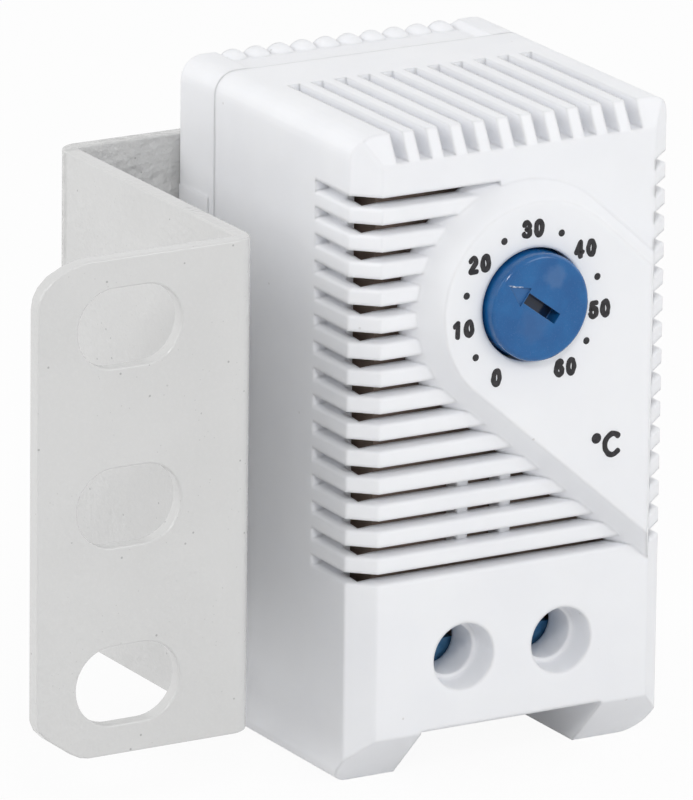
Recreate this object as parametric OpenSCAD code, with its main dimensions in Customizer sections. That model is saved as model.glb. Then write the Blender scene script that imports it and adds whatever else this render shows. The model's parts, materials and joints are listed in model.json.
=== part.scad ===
// Small enclosure thermostat with a blue setting knob and a stepped steel bracket
// All lengths are millimetres and all angles are degrees
// X runs to the right, Y runs to the back and Z runs up, seen from the dial side

/* [Body] */
// Width of the white body
body_w = 32.5; // [28:0.1:38]
// Height of the white body with its feet
body_h = 60.5; // [57:0.1:66]
// Depth of the front shell, from the front face to the joint
shell_d = 26.1; // [25:0.1:30]
// Depth of the rear base behind the joint
base_d = 7.1; // [5:0.1:10]
// Gap seen as the joint line between shell and base
seam_gap = 0.1; // [0.05:0.01:0.3]
// Thickness of the side walls
side_wall = 1.9; // [1.4:0.1:2.6]
// Thickness of the front wall
front_wall = 1.8; // [1.4:0.1:2.4]
// Thickness of the side walls just behind the slats
slat_wall = 1.15; // [0.8:0.05:1.8]
// Radius along the long upper and lower edges
edge_r = 2.1; // [1:0.1:4]
// Width of the bevel on the upright front corners, across
corner_x = 2.2; // [1:0.1:4]
// Width of the bevel on the upright front corners, to the back
corner_y = 2.0; // [1:0.1:4]
// Depth of the bevel along the top of the front
top_bevel_d = 1.4; // [0.6:0.1:3]
// Height of the bevel along the top of the front
top_bevel_h = 2.5; // [1:0.1:4]
// Height of the feet under the front face
foot_h = 4.9; // [3.5:0.1:6]
// Distance that the sloped front of a foot runs back
foot_run = 4.8; // [2:0.1:8]
// Width of the open cable channel between the feet
channel_w = 18.7; // [16:0.1:20]
// Height of the cable channel
channel_h = 5.1; // [3.6:0.1:6.2]

/* [Slats] */
// Number of ventilation slots on each side
slot_count = 15; // [8:1:15]
// Height of the lowest slot's lower edge above the ground
slot_low = 19.31; // [19.2:0.01:22]
// Plain height that is left above the slats' rows
slot_rest = 4.14; // [4:0.01:8]
// Rise of a slat's upper face from its outer to its inner edge
slot_rise = 0.36; // [0.1:0.01:0.6]
// Depth of the blind part of each slot on the sides
slot_blind = 1.3; // [1.16:0.01:1.6]
// Distance from the front face to the rear end of a side slot
slot_back = 8.0; // [6:0.1:12]
// Distance from the front face to where the side slots break through
slot_through = 4.4; // [3:0.1:5.5]

/* [Grooves] */
// Number of grooves on the top
groove_count = 11; // [5:1:11]
// Distance between neighbouring grooves
groove_pitch = 2.4; // [2:0.05:2.6]
// Width of a groove
groove_w = 1.2; // [0.8:0.05:1.5]
// Depth of a groove
groove_deep = 2.45; // [1:0.05:2.5]
// Distance from the front face to the rear end of a groove
groove_back = 19.4; // [12:0.1:24]
// Height of the round beads along the rear upper edge
bead_h = 0.6; // [0.3:0.05:0.9]
// Depth of the beads' tops under the top of the body
bead_drop = 0.05; // [0.02:0.01:0.2]
// Length of a bead behind its round front end
bead_len = 0.5; // [0.2:0.05:0.6]

/* [Dial boss] */
// Distance of the knob axis under the top of the body
dial_drop = 16.3; // [15.5:0.1:18]
// Sideways place of the round end of the boss
boss_x = 0.5; // [0:0.1:2]
// Radius of the round end at the front of the boss
boss_r = 9.5; // [8.5:0.1:10.5]
// Height of the boss over the front face
boss_h = 2.5; // [1.5:0.1:3.5]
// Sideways run of the sloped flank over the height of the boss
boss_flank = 1.38; // [0.6:0.02:1.8]
// Angle of the lower flank line below the horizontal
boss_low_angle = 41; // [38:0.5:43]
// Angle of the upper flank line below the horizontal
boss_up_angle = 42; // [38:0.5:46]
// Run of the sloped right end over the height of the boss
boss_end_run = 1.7; // [0.5:0.1:2]
// Radius of the hole for the knob
knob_hole_r = 5.2; // [5:0.05:6]

/* [Knob] */
// Radius of the knob
knob_r = 4.92; // [4.2:0.02:4.95]
// Height of the knob over the dial face
knob_out = 1.55; // [0.8:0.05:2.5]
// Size of the rounded edge of the knob
knob_edge = 0.55; // [0.1:0.05:0.8]
// Radius of the collar that holds the knob in the body
collar_r = 6.2; // [5.6:0.1:7]
// Radius of the knob's hub
hub_r = 3.2; // [2.9:0.05:3.4]
// Radial play of the turning fits
turn_play = 0.05; // [0.02:0.01:0.09]
// Length of the screwdriver slot in the knob
drive_len = 3.95; // [3:0.05:5]
// Width of the screwdriver slot in the knob
drive_w = 1.03; // [0.6:0.01:1.4]
// Depth of the screwdriver slot in the knob
drive_deep = 1.5; // [0.6:0.05:1.9]
// Distance from the axis to the tip of the pointer mark
pointer_tip = 4.1; // [3.4:0.05:4.3]
// Distance from the axis to the base of the pointer mark
pointer_base = 2.45; // [2:0.05:3]
// Width of the base of the pointer mark
pointer_w = 1.9; // [1:0.05:2.4]
// Depth of the pointer mark
pointer_deep = 0.2; // [0.1:0.02:0.5]
// Turn of the knob from the top of the dial in the shown setting
knob_set = -53.5; // [-150:0.5:150]

/* [Terminals] */
// Distance from the middle to a terminal axis
term_x = 5.05; // [4.9:0.05:5.3]
// Height of the terminal axes above the ground
term_z = 11.55; // [11.2:0.05:12.4]
// Radius of the screw access hole at the front face
access_r = 3.05; // [2.7:0.05:3.4]
// Radius of the screw access hole inside
access_in_r = 2.4; // [2.3:0.05:2.6]
// Depth of the wide mouth of the access hole
access_mouth = 2.56; // [1.5:0.05:3.5]
// Distance from the front face to the inner end of the access tube
access_end = 6.2; // [5:0.1:6.2]
// Wall thickness of the access tube
access_wall = 1.1; // [0.8:0.1:1.3]
// Radius of a terminal screw's head
screw_head_r = 2.6; // [2.45:0.05:2.8]
// Height of a terminal screw's head
screw_head_h = 2.0; // [1.4:0.1:2.1]
// Radius of a terminal screw's shank
screw_r = 1.45; // [1.2:0.05:1.6]
// Width of the slot in a terminal screw
screw_slot_w = 0.7; // [0.5:0.05:0.9]
// Depth of the slot in a terminal screw
screw_slot_deep = 1.1; // [0.6:0.05:1.3]
// Width of a clamp cage
cage_w = 6.8; // [6.2:0.1:7]
// Height of a clamp cage
cage_h = 6.7; // [5.5:0.1:7]
// Thickness of a clamp cage's side walls
cage_wall = 0.8; // [0.6:0.05:0.9]
// Thickness of a clamp cage's threaded front wall
cage_front = 1.6; // [1.2:0.1:1.7]
// Thickness of a clamp cage's rear wall
cage_rear = 1.4; // [1:0.1:1.5]
// Travel of a clamp cage from open to closed
cage_travel = 1.8; // [1.2:0.05:1.8]
// Thickness of the metal bars
bar_t = 1.0; // [0.6:0.05:1.1]
// Width of the metal bars in the cages
bar_w = 4.4; // [3.6:0.1:4.5]
// Width of a wire entry in the roof of the channel
entry_w = 4.6; // [3.6:0.1:5.4]
// Depth of a wire entry in the roof of the channel
entry_d = 3.4; // [2.6:0.1:3.8]

/* [Switch frame] */
// Thickness of the frame's front plate
frame_t = 1.8; // [1.4:0.1:2]
// Thickness of the frame's side walls
frame_wall = 1.6; // [1.2:0.1:2]
// Gap between the frame and the shell's side walls
frame_side = 1.75; // [1.4:0.05:2.2]
// Depth of the frame behind its front plate's face
frame_d = 18.8; // [18.6:0.1:19.2]
// Distance of the frame's top under the top of the body
frame_drop = 4.2; // [4:0.1:4.6]
// Height of the floor of the switch room above the ground
frame_floor = 19.0; // [18.6:0.1:19.2]
// Height of the lower end of the terminal block above the ground
block_low = 7.1; // [6.9:0.1:7.4]
// Width of the terminal block
block_w = 20.8; // [20.2:0.1:21.2]
// Radius of the threaded setting plunger
plunger_r = 1.95; // [1.6:0.05:2]
// Half width of the plunger's square head
plunger_half = 3.0; // [2.6:0.1:3.1]

/* [Switch] */
// Distance of the lever's pivot under the frame's top
pivot_drop = 3.3; // [3.2:0.1:4]
// Radius of the lever's pivot pin
pivot_r = 0.75; // [0.6:0.05:0.9]
// Thickness of the lever plate
lever_t = 0.8; // [0.6:0.05:1]
// Half width of the lever plate
lever_half = 3.4; // [3:0.1:3.6]
// Share of the height from the contacts to the knob axis that the lever reaches down
lever_share = 0.33; // [0.3:0.01:0.4]
// Thickness of the bimetal strip
bimetal_t = 0.5; // [0.3:0.05:0.6]
// Half width of the bimetal strip
bimetal_half = 2.5; // [2:0.1:2.8]
// Distance of the bimetal strip's lower end under the contacts
bimetal_tail = 1.9; // [1.5:0.1:2.2]
// Height of the contacts above the frame's floor
contact_up = 4.6; // [4.4:0.1:5]
// Radius of the contact faces
contact_r = 1.5; // [1.2:0.05:1.7]
// Open distance between the contacts in the shown setting
contact_gap = 1.5; // [1.45:0.05:1.7]
// Radius of the round magnet
magnet_r = 2.2; // [1.6:0.1:2.3]

/* [Bracket] */
// Thickness of the bracket's sheet
sheet_t = 1.5; // [1:0.05:1.5]
// Outer radius of the bracket's bends
bend_r = 2.0; // [1.8:0.1:3]
// Height of the bracket
bracket_h = 45.3; // [42:0.1:48]
// Distance that the bracket's middle lies above the body's middle
bracket_lift = 0.15; // [0:0.05:1]
// Width of the bracket's front flange
flange_w = 21.8; // [20:0.1:26]
// Distance from the body's left side to the bracket's web
web_gap = 9.95; // [6:0.05:14]
// Distance that the flange's face lies behind the body's front face
flange_set = 0.5; // [0.2:0.05:3]
// Height of the tongue that the rail claws hold
rail_h = 35; // [34.6:0.1:35.2]
// Length of a slot in the flange
hole_len = 10.3; // [9:0.1:12]
// Width of a slot in the flange
hole_w = 7.2; // [5:0.1:8]
// Distance between neighbouring slots in the flange
hole_pitch = 16.3; // [14:0.1:17]
// Distance from the flange's outer edge to the middle of the slots
hole_in = 9.1; // [8:0.1:12]
// Width across the cut corners of the flange
cut_x = 5.2; // [2:0.1:7]
// Height of the cut corners of the flange
cut_z = 3.9; // [2:0.1:6]

/* [Rail claws] */
// Thickness of a rail claw's arm
claw_t = 2.2; // [1.8:0.1:2.6]
// Width of an upper rail claw
claw_w = 7; // [5:0.1:9]
// Distance from the middle to the middle of an upper rail claw
claw_x = 9.0; // [7:0.1:9]
// Reach of a rail claw's lip over the rail
claw_lip = 1.45; // [1:0.05:2]
// Thickness of a rail claw's lip
claw_lip_t = 2.2; // [1.6:0.1:2.6]
// Width of the springy lower rail claw
tongue_w = 13; // [9:0.1:16]
// Width of the slits beside the springy claw
slit_w = 0.9; // [0.6:0.1:1.4]
// Gap between pieces that move past each other
play = 0.3; // [0.29:0.01:0.36]

/* [Hidden] */
// Overrun of every cut past the surface that it opens
over = 0.4;
// Overrun of a slanted cut past its two ends as a share of its length
run_share = 0.5;
// Number of facets on a round feature
round_fn = 48;
// Number of steps in a quarter turn of a rounded outline
arc_steps = 6;
// Outline of the knob's rounded edge: shares of its size inwards and to the back
edge_shares = [[0, 1], [0.13, 0.5], [0.5, 0.13], [1, 0]];
// Outline of a slat's soft outer edge: shares of the slot's depth and of the slat's rise
lip_shares = [[0, 0], [0.03, 0.25], [0.1, 0.47], [0.26, 0.63], [1, 1]];
// Outline of the flange's lower cut corner: shares of its width and height
low_cut_shares = [[0, 1.0], [0.07, 0.78], [0.22, 0.58], [0.66, 0.17], [0.85, 0.04], [1.0, 0]];
// Outline of the flange's upper cut corner: shares of its width and height
up_cut_shares = [[1.0, 0], [0.84, 0.02], [0.6, 0.11], [0.3, 0.3], [0.12, 0.53], [0.03, 0.76], [0, 1.0]];
// Side pieces of the slotted sides: -1 is left and 1 is right
sides = [-1, 1];
// Half width of the body
half_w = body_w / 2;
// Distance from the front face to the back of the body
rear_y = shell_d + seam_gap + base_d;
// Height of the bevel's lower edge on the front face
front_top = body_h - top_bevel_h;
// Thickness of the top wall under the grooves
top_wall = 1.4;
// Height of the inner roof of the shell
roof_z = body_h - groove_deep - top_wall;
// Radius of a bead, from its height and the distance between two valleys
bead_r = (pow(groove_pitch / 2, 2) + pow(bead_h, 2)) / bead_h / 2;
// Height of the lowered band that carries the beads
band_z = body_h - bead_h - bead_drop * 2;
// Thickness of the roof of the cable channel
channel_roof = 1.6;
// Height of the inner floor of the shell
floor_z = channel_h + channel_roof;
// Wall thickness round the hollow feet
foot_wall = 1.6;
// Height of the knob axis above the ground
dial_z = body_h - dial_drop;
// Distance that the boss ends before the bevel of the front corner
boss_rest = 0.05;
// Distance from the middle to the right end at the front of the boss
boss_end = half_w - corner_x - boss_end_run - boss_rest;
// Drop of the boss's round end under the knob axis
boss_drop = 0.15;
// Height of the round end of the boss
boss_z = dial_z - boss_drop;
// Sideways run of the flank from the dial face to the inside of the front wall
inner_flank = boss_flank * (1 + front_wall / boss_h);
// Distance that the flat flanks lie inside the round end, so that they cross it cleanly
flank_slip = 0.01;
// Sideways limit of the upper slots, hidden in the boss
slot_end = -2;
// Distance that the lowest slots end before the boss's right end
slot_short = 0.8;
// Sideways limit of the lowest slots, hidden in the boss
slot_far = boss_end + boss_end_run - slot_short;
// Distance that a slot runs into the boss
slot_in = 1;
// Height of the room kept free round the slots above and below
relief_z = 0.8;
// Radius of the pocket behind the dial face
pocket_r = 7.2;
// Thickness of the dial face over the pocket
dial_t = 2;
// Radius of the posts that carry the switch frame
post_r = 1.95;
// Distance that posts and ribs are sunk into the front wall
wall_grip = 0.9;
// Radius of the pilot hole in a post
pilot_r = 0.8;
// Thickness left in front of a pilot hole
pilot_rest = 0.9;
// Width of the frame
frame_w = body_w - 2 * side_wall - 2 * frame_side;
// Height of the top of the frame above the ground
frame_top = body_h - frame_drop;
// Gap between the front wall and the switch frame
frame_gap = 1.8;
// Front face of the switch frame
frame_y = front_wall + frame_gap;
// Height of the lower post above the ground, between the two access tubes
low_post_z = 15.6;
// Distance of the upper post inside the frame's right side
high_post_side = 3.7;
// Distance of the upper post under the frame's top
high_post_in = 3.7;
// Places of the two posts, across and up
post_places = [[0, low_post_z], [frame_w / 2 - high_post_side, frame_top - high_post_in]];
// Half width of the frame's tab at the lower post
tab_half = 1.95;
// Distance that the upright ribs are sunk between the slats
rib_grip = 0.35;
// Thickness of the upright ribs behind the lower slats
rib_t = 1.1;
// Sideways places of the upright ribs
rib_places = [-4.6, -0.2];
// Height of the upright ribs' upper ends above the slats' lowest edge
rib_high = 9;
// Thickness of the base's inner rim
rim_t = 1.2;
// Reach of the base's inner rim into the shell
rim_in = 2.6;
// Play round the base's inner rim
rim_play = 0.15;
// Height of a snap barb on the rim
barb_out = 0.45;
// Width of a snap barb along the depth
barb_w = 1.1;
// Length of a snap barb
barb_len = 8;
// Play round a snap barb
barb_play = 0.15;
// Radius of the posts that press on the switch frame from behind
hold_r = 1.6;
// Distance from the middle to the hold-down posts
hold_x = frame_w / 2 - frame_wall / 2;
// Distance of the hold-down posts from the frame's floor and top
hold_in = 4;
// Heights of the hold-down posts above the ground
hold_places = [frame_floor + hold_in, frame_top - hold_in];
// Distance of the small step on the base's sides under the top
step_drop = 11.8;
// Height of the small step on the rear base's sides
step_z = body_h - step_drop;
// Thickness of the small step on the rear base's sides
step_t = 0.12;
// Bevel round the back of the base
rear_bevel = 0.9;
// Face of the bracket's rear plate towards the body
plate_y = rear_y + play;
// Middle height of the bracket
bracket_mid = body_h / 2 + bracket_lift;
// Height of the bracket's lower edge above the ground
bracket_low = bracket_mid - bracket_h / 2;
// Left face of the bracket's web
web_x = -half_w - web_gap - sheet_t;
// Outer edge of the bracket's flange
flange_x = web_x + sheet_t - flange_w;
// Gap between the claws' ends and the shoulder of the bracket
shoulder_gap = 0.3;
// Shoulder where the full height of the bracket's plate ends
shoulder_x = -claw_x - claw_w / 2 - shoulder_gap;
// Distance that the bracket's tongue ends inside the body's right side
tongue_in = 2.2;
// Right end of the bracket's tongue
tongue_end = half_w - tongue_in;
// Bevel on the tongue's leading corners
tongue_bevel = 2.0;
// Front face of the claws' lips
lip_y = plate_y + sheet_t + play;
// Back face of the claws
claw_back = lip_y + claw_lip_t;
// Upper edge of the rail tongue
rail_up = bracket_mid + rail_h / 2;
// Lower edge of the rail tongue
rail_down = bracket_mid - rail_h / 2;
// Length of the springy arm above the lower claw
arm_len = 10;
// Front face of the dial
dial_y = -boss_h;
// Front face of the knob
knob_y = dial_y - knob_out;
// Front face of the collar, behind the dial's plate
collar_y = dial_y + dial_t + play;
// Back face of the collar
collar_back = frame_y - play;
// Distance that the knob's hub stands out behind the frame's plate
hub_past = 0.6;
// Back end of the knob's hub
hub_back = frame_y + frame_t + hub_past;
// Thickness left between the screwdriver slot and the threaded bore
bore_rest = 2.2;
// Bottom of the knob's threaded bore
bore_front = knob_y + drive_deep + bore_rest;
// Radius of the knob's threaded bore
bore_r = plunger_r + turn_play;
// Room between the plunger's front end and the bore's bottom
bore_room = 0.8;
// Front end of the plunger
plunger_front = bore_front + bore_room;
// Room between the knob's hub and the plunger's head
head_room = 0.9;
// Front face of the plunger's square head
head_y = hub_back + head_room;
// Thickness of the plunger's square head
head_t = 1.2;
// Reach of the plunger's nose behind its head
nose_len = 1.4;
// Radius of the plunger's nose
nose_r = 1.1;
// Front face of the lever plate
lever_y = head_y + head_t + nose_len + play;
// Height of the lever's pivot above the ground
pivot_z = frame_top - pivot_drop;
// Height of the contacts above the ground
contact_z = frame_floor + contact_up;
// Height of the lever's lower end above the ground
lever_low = dial_z - (dial_z - contact_z) * lever_share;
// Height of the bimetal strip's lower end above the ground
bimetal_low = contact_z - bimetal_tail;
// Distance of the pivot axis in front of the lever plate
pivot_out = 0.8;
// Distance from the front face to the pivot axis
pivot_y = lever_y - pivot_out;
// Thickness of the pivot ears
ear_t = 0.8;
// Gap between the lever and the pivot bracket's ears
ear_gap = 0.5;
// Half width of the pivot bracket inside its ears
ear_x = lever_half + ear_gap;
// Radius round the pivot on ears
ear_r = 1.55;
// Thickness of the pivot bracket
pivot_t = 0.8;
// Radius of a small rivet's shank
rivet_r = 0.6;
// Radius of a small rivet's head
rivet_head_r = 1.05;
// Height of a small rivet's head
rivet_head_h = 0.45;
// Distance from the middle to the pivot bracket's rivets
rivet_x = 1.7;
// Radius of the calibration screw
cal_r = 1.0;
// Gap between the bimetal strip's upper end and the calibration screw
root_gap = 0.4;
// Length of the bimetal strip lying on the lever
bimetal_root = dial_z - lever_low - cal_r - root_gap;
// Distance from the middle to each of the bimetal's rivets
bimetal_rivet_x = 1.3;
// Height of the bimetal's rivets above the ground
bimetal_rivet_z = lever_low + bimetal_root / 2;
// Length of the calibration screw
cal_len = 2.8;
// Width of the calibration screw's slot
cal_slot_w = 0.4;
// Depth of the calibration screw's slot
cal_slot_deep = 0.6;
// Back face of the bimetal strip
bimetal_back = lever_y + lever_t + bimetal_t;
// Height of the moving contact over the bimetal strip
contact_out = 1.3;
// Front face of the fixed contact
contact_face = bimetal_back + contact_out + contact_gap;
// Height of the fixed contact over its bar
fixed_out = 1.0;
// Front face of the metal bars
bar_y = contact_face + fixed_out;
// Radius of the shank of a contact rivet
contact_shank_r = 0.75;
// Height of the magnet's middle above the ground, halfway from the contacts to the lever
magnet_z = (contact_z + lever_low) / 2;
// Half width of the armature plate
armature_half = 1.8;
// Thickness of the armature plate
armature_t = 0.8;
// Gap between the armature plate and the magnet in the shown setting
magnet_gap = 1.3;
// Front face of the magnet
magnet_y = bimetal_back + armature_t + magnet_gap;
// Thickness of the rear bridge that carries the magnet
bridge_t = 1.5;
// Half height of the rear bridge
bridge_half = 3.2;
// Gap between the metal bars and the rear bridge
bridge_gap = 1.6;
// Front face of the rear bridge
bridge_y = bar_y + bar_t + bridge_gap;
// Front end of a terminal screw's head
screw_y = access_end + play;
// Back face of a terminal screw's head
screw_neck = screw_y + screw_head_h;
// Front face of the terminal block
block_y = screw_neck + play;
// Thickness of the terminal block's front wall
block_front_t = 1.1;
// Front face of a clamp cage in its open place
cage_y = block_y + block_front_t + play + cage_travel;
// Gap behind the bar that is left with the cage closed
wire_rest = 0.4;
// Inner face of a cage's rear wall
cage_in = bar_y + bar_t + cage_travel + wire_rest;
// Back face of a clamp cage
cage_back = cage_in + cage_rear;
// Back end of a terminal screw
screw_end = bar_y - play;
// Lower end of a clamp cage
cage_low = term_z - cage_h / 2;
// Side room round a clamp cage
cage_room = 0.35;
// Half width of a cage room
room_half = cage_w / 2 + cage_room;
// Back face of the cage rooms
room_back = cage_back + play;
// Thickness of the wall behind the cage rooms
room_wall = 1.2;
// Back face of the frame
frame_back = max(frame_y + frame_d, room_back + room_wall);
// Play round a screw in the terminal block
neck_play = 0.35;
// Radius of the hole in the block for a screw
neck_r = screw_r + neck_play;
// Height of a bar's lower end above a cage's lower end
bar_rise = 0.4;
// Lower end of the metal bars in the cages
bar_low = cage_low + bar_rise;
// Side gap round the metal bars where they pass the frame's floor
pass_gap = 0.3;
// Thickness of the frame's floor
floor_t = 1.5;
// Upper end of the left bar, against the pivot bracket's lower edge
left_bar_top = pivot_z - ear_r;
// Gap between the left bar and the frame's side wall
left_bar_gap = 0.5;
// Outer side of the left bar's upright
left_bar_x = -frame_w / 2 + frame_wall + left_bar_gap;
// Width of the joint between the left bar's lug and the pivot bracket
lug_in = 1.3;
// Width of the left bar's upright
upright_w = 2.6;
// Height of the step of the bars above the floor
bar_step = 2.2;
// Height of the right bar's arm
arm_h = 3.6;
// Reach of the right bar's arm past the contact
arm_past = 2.2;
// Depth of the lug that joins the left bar to the pivot bracket
lug_h = 3;
// Thickness of the guides beside the plunger's head
guide_t = 1.1;
// Half height of the guides
guide_half = 3.4;
// Thickness of the return leaf
leaf_t = 0.3;
// Half width of the return leaf
leaf_half = 1.5;
// Gap between the lever and the return leaf in the shown setting
leaf_gap = 0.62;
// Front face of the return leaf
leaf_y = lever_y + lever_t + leaf_gap;
// Distance of the return leaf's lower end under the pivot
leaf_len = 6.4;
// Height of the return leaf's lower end above the ground
leaf_low = pivot_z - leaf_len;
// Length of the return leaf's foot
leaf_foot = 4.4;
// Radius of a frame screw's shank
fix_r = 0.8;
// Radius of a frame screw's head
fix_head_r = 1.7;
// Height of a frame screw's head
fix_head_h = 1.2;
// Width of a frame screw's slot
fix_slot_w = 0.5;
// Depth of a frame screw's slot
fix_slot_deep = 0.6;
// Clearance round a frame screw in the frame
fix_play = 0.25;
// Share of a foot's slope that is cut past its ends
wedge_share = 0.6;
// Share of a row that the slot takes, next to its slat
open_share = 0.49;
// Distance between neighbouring slots
slot_pitch = (body_h - slot_low - slot_rest) / slot_count;
// Height of a slot at the outer face
slot_open = slot_pitch * open_share;
// Trace by which the corner and side slots are wider than the front slots
slot_slip = 0.013;
// Back end of the deepest front slot cut
slot_cut = front_wall + over;
// Back end of the slot cut through the bevelled corner
corner_cut = 1.7;
// Sideways middle of the whole part
origin_x = (flange_x + half_w + step_t) / 2;
// Middle of the whole part from front to back
origin_y = (knob_y + claw_back) / 2;
// Names of all the separate pieces
// Piece to build, or all of them

// Frame and helper shapes
module place() {
    translate([-origin_x, -origin_y, 0])
        children();
}

module along_y(y0, y1) {
    translate([0, y1, 0])
        rotate([90, 0, 0])
            linear_extrude(height = y1 - y0)
                children();
}

module along_x(x0, x1) {
    translate([x0, 0, 0])
        rotate([90, 0, 90])
            linear_extrude(height = x1 - x0)
                children();
}

module along_z(z0, z1) {
    translate([0, 0, z0])
        linear_extrude(height = z1 - z0)
            children();
}

module box(x0, x1, y0, y1, z0, z1) {
    translate([x0, y0, z0])
        cube([x1 - x0, y1 - y0, z1 - z0]);
}

module rod_y(x, z, y0, y1, r) {
    translate([x, y1, z])
        rotate([90, 0, 0])
            cylinder(h = y1 - y0, r = r, $fn = round_fn);
}

module cone_y(x, z, y0, y1, r0, r1) {
    translate([x, y1, z])
        rotate([90, 0, 0])
            cylinder(h = y1 - y0, r1 = r1, r2 = r0, $fn = round_fn);
}

module rod_x(y, z, x0, x1, r) {
    translate([x0, y, z])
        rotate([0, 90, 0])
            cylinder(h = x1 - x0, r = r, $fn = round_fn);
}

function arc(cx, cy, r, a0, a1, n) =
    [for (i = [0:n]) [cx + r * cos(a0 + (a1 - a0) * i / n), cy + r * sin(a0 + (a1 - a0) * i / n)]];

function wedge(p, q, s) =
    [p - (q - p) * s, q + (q - p) * s];

// Outline of the body seen from the front, with rounded long edges
module body_outline(g) {
    polygon(concat(
        arc(half_w - edge_r, edge_r, edge_r - g, -90, 0, arc_steps),
        arc(half_w - edge_r, body_h - edge_r, edge_r - g, 0, 90, arc_steps),
        arc(-half_w + edge_r, body_h - edge_r, edge_r - g, 90, 180, arc_steps),
        arc(-half_w + edge_r, edge_r, edge_r - g, 180, 270, arc_steps)));
}

// Slanted cuts that bevel the front
module corner_wedge(s) {
    w = wedge([s * half_w, corner_y], [s * (half_w - corner_x), 0], run_share);
    along_z(-over, body_h + over)
        polygon([w[0], w[1], [w[0][0], w[1][1]]]);
}

module top_wedge() {
    w = wedge([0, front_top], [top_bevel_d, body_h], run_share);
    along_x(-half_w - over, half_w + over)
        polygon([w[0], w[1], [w[0][0], w[1][1]]]);
}

module foot_wedge() {
    w = wedge([0, foot_h], [foot_run, 0], wedge_share);
    along_x(-half_w - over, half_w + over)
        polygon([w[0], w[1], [w[0][0], w[1][1]]]);
}

// Cross-section of one slot: depth to the inside first, then height
// Each kind of cut is a trace wider than the one before, so that no two faces share a plane
module slot_shape(deep, at, more) {
    polygon(concat(
        [[-over, at - more]],
        [for (p = lip_shares) [p[0] * deep, at + p[1] * slot_rise - more]],
        [[deep, at + slot_open + more], [-over, at + slot_open + more]]));
}

function slot_z(i) = slot_low + i * slot_pitch;

function flank_x(z) =
    boss_x - ((boss_r + boss_flank) - (boss_z - z) * cos(boss_low_angle)) / sin(boss_low_angle);

function slot_stop(i) =
    min(slot_far, max(slot_end, flank_x(slot_z(i)) + slot_in));

module front_slot(i) {
    along_x(-half_w + corner_x / 2, slot_stop(i))
        slot_shape(slot_cut, slot_z(i), 0);
}

module corner_slot(s, i) {
    ang = atan2(corner_y, corner_x);
    len = norm([corner_x, corner_y]);
    translate([s * half_w, corner_y, 0])
        mirror([s < 0 ? 0 : 1, 0, 0])
            rotate([0, 0, -ang])
                along_x(-len * run_share / 2, len)
                    slot_shape(corner_cut, slot_z(i), slot_slip);
}

module side_slot(s, i) {
    translate([s * half_w, 0, 0])
        mirror([s < 0 ? 0 : 1, 0, 0])
            rotate([0, 0, -90])
                along_x(-slot_back, -corner_y * run_share)
                    slot_shape(slot_blind, slot_z(i), slot_slip * 2);
}

function groove_x(i) = (i - (groove_count - 1) / 2) * groove_pitch;

// Grooves with flat floors that run out just above the lower edge of the top bevel
module grooves(y0, y1) {
    for (i = [0:groove_count - 1])
        box(groove_x(i) - groove_w / 2, groove_x(i) + groove_w / 2, y0, y1,
            body_h - groove_deep, body_h + over);
}

// The drop-shaped boss under the dial: a cone with two sloped bars that run off to the right
module flank_bar(ang, s) {
    low = -boss_r / 2;
    translate([boss_x, 0, boss_z])
        rotate([0, ang, 0])
            mirror([0, 0, s > 0 ? 0 : 1])
                along_x(0, body_w)
                    polygon([[dial_y, low], [dial_y, boss_r - flank_slip],
                        [front_wall, boss_r + inner_flank - flank_slip], [front_wall, low]]);
}

module boss() {
    x0 = boss_end;
    x1 = boss_end + boss_end_run;
    far = half_w + body_w;
    difference() {
        union() {
            cone_y(boss_x, boss_z, dial_y, front_wall, boss_r, boss_r + inner_flank);
            flank_bar(boss_up_angle, 1);
            flank_bar(boss_low_angle, -1);
        }
        along_z(-body_h, body_h + over)
            polygon([[x0 - boss_end_run * run_share, dial_y - boss_h * run_share], [x1, 0],
                [x1, front_wall + over], [far, front_wall + over],
                [far, dial_y - boss_h * run_share]]);
    }
}

// White front shell with slats, grooves, dial boss and feet
module front_shell() {
    color("white")
        place() {
            difference() {
                union() {
                    difference() {
                        along_y(0, shell_d)
                            body_outline(0);
                        for (s = sides)
                            corner_wedge(s);
                        top_wedge();
                        foot_wedge();
                        shell_room();
                        for (i = [0:slot_count - 1]) {
                            front_slot(i);
                            for (s = sides) {
                                corner_slot(s, i);
                                side_slot(s, i);
                            }
                        }
                        grooves(-over, groove_back);
                    }
                    boss();
                    shell_inside();
                }
                shell_holes();
            }
        }
}

module shell_room() {
    inner = half_w - side_wall;
    box(-inner, inner, front_wall, shell_d + over, floor_z, roof_z);
    wide = half_w - slat_wall;
    box(-wide, wide, front_wall, slot_through, slot_low - relief_z,
        slot_z(slot_count - 1) + slot_open + relief_z);
    for (s = sides) {
        x0 = channel_w / 2 + foot_wall;
        box(min(s * x0, s * inner), max(s * x0, s * inner),
            foot_run + foot_wall, shell_d + over, foot_wall, floor_z + over);
    }
    box(-channel_w / 2, channel_w / 2, -over, shell_d + over, -over, channel_h);
}

module shell_inside() {
    for (s = sides)
        rod_y(s * term_x, term_z, front_wall - wall_grip, access_end, access_in_r + access_wall);
    for (p = post_places)
        rod_y(p[0], p[1], front_wall - wall_grip, frame_y, post_r);
    for (x = rib_places)
        box(x - rib_t / 2, x + rib_t / 2, front_wall - rib_grip, frame_y - play,
            slot_z(1) - (slot_pitch - slot_open) / 2, slot_low + rib_high);
}

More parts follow.
